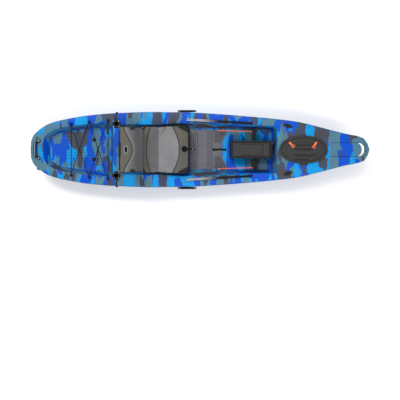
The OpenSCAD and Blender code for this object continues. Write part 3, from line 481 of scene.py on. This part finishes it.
def cover(name, node, body, finish, line, rail, sag):
    """A fabric sleeve laced over two rails: it wraps each rail and sags between them."""
    line = smoothed(line)
    span = line[-1] - line[0]
    facing = Vector((0, 0, 1)) if abs(span.x) > abs(span.z) else Vector((1, 0, 0))
    radius = RAIL_R + CLOTH
    lengths = [0.0]
    for a, b in zip(line, line[1:]):
        lengths.append(lengths[-1] + (b - a).length)
    total = lengths[-1]
    last = len(line) - 1
    stations = [(0, -a) for a in ROLLS] + [(i, 0) for i in range(last + 1)]
    stations += [(last, a) for a in reversed(ROLLS)]
    wrap = [(radius * math.cos(math.radians(a)), -RAIL_R + radius * math.sin(math.radians(a))) for a in WRAPS]
    bm = bmesh.new()
    loops = []
    for i, roll in stations:
        tangent = (line[min(i + 1, last)] - line[max(i - 1, 0)]).normalized()
        normal = tangent.cross(Vector((0, 1, 0)))
        if normal.dot(facing) < 0:
            normal.negate()
        end = ease(min(lengths[i], total - lengths[i]) / TURN_IN)
        upper, lower = [], []
        for k in range(ACROSS + 1):
            y = rail * (2 * k / ACROSS - 1)
            share = (1 - abs(y / rail) ** 5) * end
            top = CLOTH - sag * share + pucker(y, lengths[i]) * (0.4 + share)
            upper.append((y, top))
            lower.append((y, -RAIL_R - radius + (RAIL_R + radius + top - SLING) * share))
        section = upper + [(rail + y, h) for y, h in wrap] + lower[::-1]
        section += [(-rail - y, h) for y, h in wrap[::-1]]
        turn = math.radians(roll)
        loops.append([bm.verts.new(line[i] + Vector((0, y, 0)) + tangent * radius * math.sin(turn)
                                   + normal * (-RAIL_R + (h + RAIL_R) * math.cos(turn))) for y, h in section])
    for a, b in zip(loops, loops[1:]):
        for k in range(len(a)):
            bm.faces.new((a[k], a[(k + 1) % len(a)], b[(k + 1) % len(a)], b[k]))
    half, turns = ACROSS + 1, len(WRAPS)
    for loop in (loops[0], loops[-1]):
        over, under = loop[:half], loop[half + turns:2 * half + turns][::-1]
        for k in range(ACROSS):
            bm.faces.new((over[k], over[k + 1], under[k + 1], under[k]))
        bm.faces.new(loop[half - 1:half + turns + 1])
        bm.faces.new(loop[2 * half + turns - 1:] + loop[:1])
    bmesh.ops.recalc_face_normals(bm, faces=bm.faces)
    obj = piece(name, bm, finish, body, "seat_fabric", node)
    return obj


# Build -------------------------------------------------------------------------------------
add_camera()
finishes = {
    "hull": material("mottled_polyethylene", mottled_hull, Specular_IOR_Level=0.16),
    "pad": material("deck_foam", foam),
    "alloy": material("anodised", anodised, Metallic=0.85),
    "black_plastic": material("black_moulding", moulded((0.005, 0.005, 0.006, 1), 0.42),
                              Specular_IOR_Level=0.22),
    "lid_plastic": material("charcoal_moulding", moulded((0.024, 0.024, 0.024, 1), 0.5),
                            Specular_IOR_Level=0.25),
    "rubber": material("soft_rubber", moulded((0.006, 0.006, 0.007, 1), 0.6), Specular_IOR_Level=0.25),
    "webbing": material("black_webbing", webbing((0.003, 0.003, 0.004, 1)), Specular_IOR_Level=0.2),
    "cord": material("elastic_cord", webbing((0.002, 0.002, 0.003, 1), 0.002), Specular_IOR_Level=0.15),
    "tube": material("powder_coat", moulded((0.006, 0.006, 0.007, 1), 0.34, 0.0003), Specular_IOR_Level=0.3),
    "orange": material("orange_moulding", moulded((0.8, 0.13, 0.03, 1), 0.4)),
    "steel": material("stainless", metal((0.55, 0.55, 0.57, 1), 0.25), Metallic=1.0),
    "insert": material("slate_moulding", moulded((0.06, 0.11, 0.13, 1), 0.45)),
    # pale: print on the badge ring, and the painted highlight on the stern handle.
    "pale": material("pale_print_and_painted_highlight", moulded((0.5, 0.5, 0.5, 1), 0.5)),
}
add_stage()

SOFT = {"seat_pan_sling", "seat_back_sling"}
ROUND = {"tank_well_bungee", "seat_pan_frame", "seat_back_frame"}
hull = piece("moulded_hull", merged_copy("hull_shell"), finishes["hull"], "hull", "hull", "hull_shell")
evened = hull.modifiers.new("evened_shading", "WEIGHTED_NORMAL")
evened.keep_sharp = True
for part in frame["record"]["subparts"]:
    if part["node"] not in SOFT | {"hull_shell", "port_recline_strap", "starboard_recline_strap"}:
        finish = "black_plastic" if part["node"] == "console_lid" else part["material_slot"]
        dressed(part["node"], finishes[finish], 0 if part["node"] in ROUND else 0.0012)

PAN_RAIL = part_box("seat_pan_frame")[1][1] - RAIL_R
BACK_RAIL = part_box("seat_back_frame")[1][1] - RAIL_R


# The seams' places: where each crosses the middle of the seat, and how far it bows.
PAN_REAR_X, PAN_REAR_BOW = -0.647, 0.64
PAN_FRONT_X, PAN_FRONT_BOW = -0.248, -1.08
BACK_ARC_X, BACK_ARC_BOW, BACK_ARC_HALF = -0.758, -0.087, 0.265


def pan_rear(y):
    """The pan's rear seam. These three take a number or a socket."""
    return y * y * PAN_REAR_BOW + PAN_REAR_X


def pan_front(y):
    return y * y * PAN_FRONT_BOW + PAN_FRONT_X


def back_arc(y):
    """Bell-shaped seam below the headrest."""
    t = y * (1 / BACK_ARC_HALF)
    return t * t * (2 - t * t) * BACK_ARC_BOW + BACK_ARC_X


def pan_panel(s):
    x, y, z = s.axes(s.place())
    return (x - pan_rear(y)).step(-0.001, 0.001) * (pan_front(y) - x).step(-0.001, 0.001)


def back_panel(s):
    x, y, z = s.axes(s.place())
    return (x - back_arc(y)).step(-0.001, 0.001)


def pan_light(s):
    """The pan's mesh is paler over its front half."""
    return s.axes(s.place())[0].step(-0.51, -0.49)


def back_painted_light_and_shade(s):
    """Painted light and shade on the back's mesh: palest below the headrest, where it faces up, and darkest
    where it bends steeply down.
    """
    x, y, z = s.axes(s.place())
    return (x - back_arc(y)).step(0.045, 0.0) * 0.8 + x.step(-0.715, -0.69) * 0.25


def pan_corners(s):
    """Black reinforcement over the front corners and beside the recline hinges."""
    x, y, z = s.axes(s.place())
    front = (abs(y) + (x + 0.262) * 0.48).step(0.258, 0.262) * x.step(-0.262, -0.255)
    return front.most((abs(y) - x * 1.2).step(1.045, 1.05) * abs(y).step(0.225, 0.229))


def back_notches(s):
    """Black half rounds where the recline straps are sewn in."""
    x, y, z = s.axes(s.place())
    from_edge = (abs(y) - BACK_RAIL) * (abs(y) - BACK_RAIL) + (x + 0.757) * (x + 0.757)
    return 1 - (from_edge ** 0.5).step(0.026, 0.029)


pan_line = rail_line("seat_pan_frame", PAN_RAIL, eye=(-0.4, 1.3), start=(-0.672, 0.4), end=(-0.129, 0.36))
back_line = rail_line("seat_back_frame", BACK_RAIL, eye=(-0.46, 0.9), start=(-0.69, 0.447),
                      end=(-0.886, 0.81))
pan_fabric = material("pan_fabric", seat_cloth(pan_panel, pan_light, pan_corners, PAN_RAIL))
pan = cover("seat_pan_cover", "seat_pan_sling", "seat", pan_fabric, pan_line, PAN_RAIL, sag=0.008)
back_fabric = material("back_fabric", seat_cloth(back_panel, back_painted_light_and_shade, back_notches, BACK_RAIL))
back = cover("seat_back_cover", "seat_back_sling", "seat_back", back_fabric, back_line, BACK_RAIL, sag=0.01)

for side in ("port", "starboard"):
    node = side + "_recline_strap"
    strap = piece(side + "_recline_webbing", merged_copy(node), finishes["webbing"], None, "webbing", node)
    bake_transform(strap)


def laid(surface, start, direction, lift):
    """The point where a ray from start meets the surface, raised by lift against the ray."""
    direction = Vector(direction)
    hit = surface.ray_cast(Vector(start), direction)[0]
    return None if hit is None else hit - direction * lift


def oval(surface, centre, half_x, half_y, height, lift, count):
    """Points of a level oval, dropped from a height on to a surface."""
    points = []
    for i in range(count):
        angle = 2 * math.pi * i / count
        start = (centre[0] + half_x * math.cos(angle), centre[1] + half_y * math.sin(angle), height)
        points.append(laid(surface, start, DOWN, lift))
    return points


def piping(name, surface, starts, body):
    """Piping along a seam, set a little into the cloth."""
    points = [laid(surface, start, DOWN, PIPING * 0.4) for start in starts]
    tube(name, [p for p in points if p], PIPING, finishes["webbing"], body, "webbing")


def spread(half, steps=40):
    return [half * (2 * i / steps - 1) for i in range(steps + 1)]


PIPING = 0.004         # radius
pan_top = surface_of(pan)
for label, seam in (("rear", pan_rear), ("front", pan_front)):
    piping("pan_%s_piping" % label, pan_top, [(seam(y), y, 1) for y in spread(PAN_RAIL + RAIL_R)], "seat")
piping("back_piping", surface_of(back), [(back_arc(y), y, 1.2) for y in spread(BACK_RAIL + RAIL_R)],
       "seat_back")


def bar(bm, a, b, width, height):
    """Adds a straight bar of rectangular section between two points."""
    a, b = Vector(a), Vector(b)
    along = (b - a).normalized()
    side = along.cross(Vector((0, 0, 1))).normalized()
    turn = Matrix((along, side, along.cross(side) * -1)).transposed().to_4x4()
    size = Matrix.Diagonal(((b - a).length, width, height, 1))
    bmesh.ops.create_cube(bm, size=1, matrix=Matrix.Translation((a + b) / 2) @ turn @ size)


def badge(surface, x, half_x, half_y):
    """Blank oval badge on the headrest."""
    points = oval(surface, (x, 0), half_x, half_y, 1.2, 0.0015, 40)
    tube("badge_ring", points, 0.0019, finishes["pale"], "seat_back", "seat_fabric", closed=True)
    bm = bmesh.new()
    rim = [bm.verts.new(p) for p in points]
    lower = [bm.verts.new(p - Vector((0, 0, 0.003))) for p in points]
    bm.faces.new(rim)
    bm.faces.new(lower[::-1])
    for i in range(len(rim)):
        bm.faces.new((rim[i], lower[i], lower[i - 1], rim[i - 1]))
    bmesh.ops.recalc_face_normals(bm, faces=bm.faces)
    piece("badge_plate", bm, finishes["webbing"], "seat_back", "seat_fabric")


badge(surface_of(back), -0.822, 0.019, 0.042)


# Deck pad and console ----------------------------------------------------------------------
PAD_LOW, PAD_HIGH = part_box("deck_pad")
NOTCH_X = PAD_HIGH[0] - 0.066
NOTCH_HALF = 0.092
PAD_MARGIN = 0.014     # bare edge along the pad's sides
STUD_PITCH = 0.031
STUD_ROW = 0.87        # rows stand closer than the studs in them


def pad_front(y):
    """The pad's notched front edge."""
    run = PAD_HIGH[1] - PAD_MARGIN - NOTCH_HALF
    return NOTCH_X + max(0, abs(y) - NOTCH_HALF) * (PAD_HIGH[0] - NOTCH_X) / run


def pad_studs():
    """Rows of dots on the deck pad, and slanting ribs in its front corners."""
    bm = bmesh.new()
    top = PAD_HIGH[2] + 0.0006
    for first, last in ((PAD_LOW[0] + 0.016, -0.012), (0.1, 0.16)):
        for row in range(int((last - first) / (STUD_PITCH * STUD_ROW)) + 1):
            for column in range(-8, 9):
                y = (column + (row % 2) / 2) * STUD_PITCH
                if abs(y) < PAD_HIGH[1] - PAD_MARGIN:
                    place = Matrix.Translation((first + row * STUD_PITCH * STUD_ROW, y, top))
                    bmesh.ops.create_cone(bm, cap_ends=True, segments=12, radius1=0.0085, radius2=0.007,
                                          depth=0.0024, matrix=place)
    for side in (-1, 1):
        for i in range(11):
            line = 0.26 + i * 0.03
            run = [(line - y, y) for y in (0.085 + 0.004 * k for k in range(38))]
            run = [(x, y) for x, y in run if 0.178 < x < pad_front(y) - 0.012]
            if len(run) > 3:
                (ax, ay), (bx, by) = run[0], run[-1]
                bar(bm, (ax, side * ay, top), (bx, side * by, top), 0.0095, 0.0024)
    dark_foam = material("dark_foam", moulded((0.028, 0.028, 0.034, 1), 0.85))
    piece("pad_studs", bm, dark_foam, "hull", "pad", smooth=False)


def console_panel():
    """Raised panel of the console's lid, with the groove of its inset tray."""
    low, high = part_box("console_lid")
    x0, x1, half, top = low[0] + 0.024, high[0] - 0.046, high[1] - 0.027, high[2]
    bm = bmesh.new()
    corner = 0.014
    outline = []
    for cx, cy, start in ((x1 - corner, half - corner, 0), (x0 + corner, half - corner, 90),
                          (x0 + corner, corner - half, 180), (x1 - corner, corner - half, 270)):
        for k in range(7):
            angle = math.radians(start + 15 * k)
            outline.append((cx + corner * math.cos(angle), cy + corner * math.sin(angle)))
    plate(bm, [(x, y, top - 0.001) for x, y in outline], 0.006)
    softened(piece("console_panel", bm, finishes["lid_plastic"], "console_lid_body", "lid_plastic"), 0.003, 3)
    tray, bend, z = half - 0.014, 0.024, top + 0.0035
    x2 = x1 - 0.075
    points = [(x0 + 0.1, tray, z), (x2 - bend, tray, z)]
    for turn in (22, 45, 68, 90):
        angle = math.radians(turn)
        points.append((x2 - bend + bend * math.sin(angle), tray - bend + bend * math.cos(angle), z))
    points += [(x, -y, z) for x, y, z in reversed(points)]
    tube("console_groove", points, 0.0048, finishes["black_plastic"], "console_lid_body", "black_plastic")


def painted_handle_highlight():
    """Painted highlight: a pale stripe along the top of the stern handle's grip."""
    low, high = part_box("stern_handle")
    x, z = low[0] + 0.013, high[2] + 0.0005
    points = [(x - 0.004, y * 0.078, z - 0.001) for y in (-1, -0.5, 0, 0.5, 1)]
    # The pale stripe is a painted highlight.
    tube("handle_highlight_stripe", points, 0.0022, finishes["pale"], "hull", "black_plastic")


def bow_groove_shading():
    """Painted shade: black tubes along the bow deck stand for the shade in its two moulded creases."""
    deck = surface_of(hull)
    for side in (-1, 1):
        # The black tube is painted shade in the crease.
        points = [laid(deck, (1.585 + 0.0225 * i, side * 0.082, 1), DOWN, -0.001) for i in range(15)]
        tube("bow_shade_line", [p for p in points if p], 0.003, finishes["black_plastic"], "hull", "hull")


def lid_groove_shading():
    """Painted shade: black tubes stand for the shade in the channels along the hatch lid, beside its raised
    ribs; and the dark line of its rim.
    """
    lid = surface_of(frame["nodes"]["hatch_lid"])
    low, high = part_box("hatch_lid")
    middle = (low[0] + high[0]) / 2
    dark = finishes["black_plastic"]
    channels = ((0.052, 0.1, 0.01), (0.004, 0.115, 0.0), (-0.066, 0.13, 0.02), (-0.118, 0.085, -0.02))
    # Each channel's black tube is painted shade.
    for i, (y, half, shift) in enumerate(channels):
        points = [laid(lid, (middle + shift + half * t / 8, y, 1), DOWN, 0.0) for t in range(-8, 9)]
        tube("lid_shade_channel_%d" % i, [p for p in points if p], 0.0042, dark, "hatch_lid_body", "lid_plastic")
    inset = 0.026
    rim = oval(lid, (middle, 0), (high[0] - low[0]) / 2 - inset, high[1] - inset, 1, 0.0, 72)
    if all(rim):
        tube("lid_rim_line", rim, 0.0032, dark, "hatch_lid_body", "lid_plastic", closed=True)


def pedal_details(side, sign):
    """Cleated tread and stiffening ribs on a foot pedal."""
    low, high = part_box(side + "_foot_pedal")
    near, far = min(abs(low[1]), abs(high[1])), max(abs(low[1]), abs(high[1])) - 0.026
    body = side + "_foot_brace"
    bm = bmesh.new()
    middle = (low[2] + high[2]) / 2
    for z in (low[2] + 0.012, middle, high[2] - 0.012):
        for y in (near + 0.006, (near + far) / 2, far - 0.01):
            upright = scaled_at((low[0] + 0.024, sign * y, z), (0.026, 0.006, 0.02))
            bmesh.ops.create_cube(bm, size=1, matrix=upright)
        level = scaled_at((low[0] + 0.024, sign * (near + far) / 2, z), (0.03, far - near - 0.006, 0.005))
        bmesh.ops.create_cube(bm, size=1, matrix=level)
    softened(piece(side + "_pedal_ribs", bm, finishes["black_plastic"], body, "black_plastic"), 0.0012)
    bm = bmesh.new()
    for k in range(6):
        y = near + 0.012 + k * (far - near - 0.02) / 5
        place = Matrix.Translation((low[0] + 0.03, sign * y, high[2])) @ Matrix.Rotation(math.pi / 2, 4, "X")
        bmesh.ops.create_cone(bm, cap_ends=True, segments=12, radius1=0.006, radius2=0.004, depth=0.006,
                              matrix=place)
    softened(piece(side + "_pedal_tread", bm, finishes["rubber"], body, "rubber"), 0.0006)


def strap_details():
    """Sewn pad and buckle of the seat's pull strap, and the knotted grip of the standing strap."""
    low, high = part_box("seat_pull_strap")
    bm = bmesh.new()
    rim = oval(pan_top, (low[0] + 0.034, 0.006), 0.033, 0.036, 1, 0.0022, 32)
    plate(bm, [p for p in rim if p], -0.004)
    piece("pull_strap_patch", bm, finishes["webbing"], "seat", "webbing")
    strap = surface_of(frame["nodes"]["seat_pull_strap"])
    hit = strap.ray_cast(Vector((high[0] - 0.03, 0.004, 1)), Vector(DOWN))[0]
    if hit:
        bm = bmesh.new()
        tilt = Matrix.Rotation(math.radians(60), 4, "Y")
        place = Matrix.Translation(hit) @ tilt @ Matrix.Diagonal((0.022, 0.028, 0.008, 1))
        bmesh.ops.create_cube(bm, size=1, matrix=place)
        softened(piece("pull_strap_buckle", bm, finishes["steel"], "seat", "steel"), 0.002)
    low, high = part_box("stand_assist_strap")
    bm = bmesh.new()
    for x, width in ((low[0] + 0.014, 0.034), (low[0] + 0.046, 0.03), (high[0] - 0.05, 0.026)):
        place = scaled_at((x, 0, low[2] + 0.011), (1.1, width / 0.024, 0.8))
        bmesh.ops.create_icosphere(bm, subdivisions=2, radius=0.012, matrix=place)
    piece("stand_strap_knots", bm, finishes["webbing"], "hull", "webbing")


console_panel()
painted_handle_highlight()
bow_groove_shading()
lid_groove_shading()
pedal_details("port", 1)
pedal_details("starboard", -1)
strap_details()


def cord_knots():
    """Knots where the elastic cord is tied off at each eye."""
    bm = bmesh.new()
    whole = merged_copy("bungee_pad_eyes")
    posts = {}         # the eyes' corners, gathered by their place along and across
    for v in whole.verts:
        key = (round(v.co.x / 0.1), v.co.y > 0)
        posts.setdefault(key, []).append(v.co.copy())
    whole.free()
    for points in posts.values():
        middle = sum(points, Vector()) / len(points)
        top = max(p.z for p in points)
        for turn in range(3):
            angle = turn * 2.1
            centre = (middle.x + 0.011 * math.cos(angle), middle.y + 0.011 * math.sin(angle),
                      top - 0.009 - 0.0064 * turn)
            place = scaled_at(centre, (1.5, 1.1, 0.8))
            bmesh.ops.create_icosphere(bm, subdivisions=2, radius=0.0062, matrix=place)
    piece("cord_knots", bm, finishes["cord"], "hull", "cord")


pad_studs()
cord_knots()
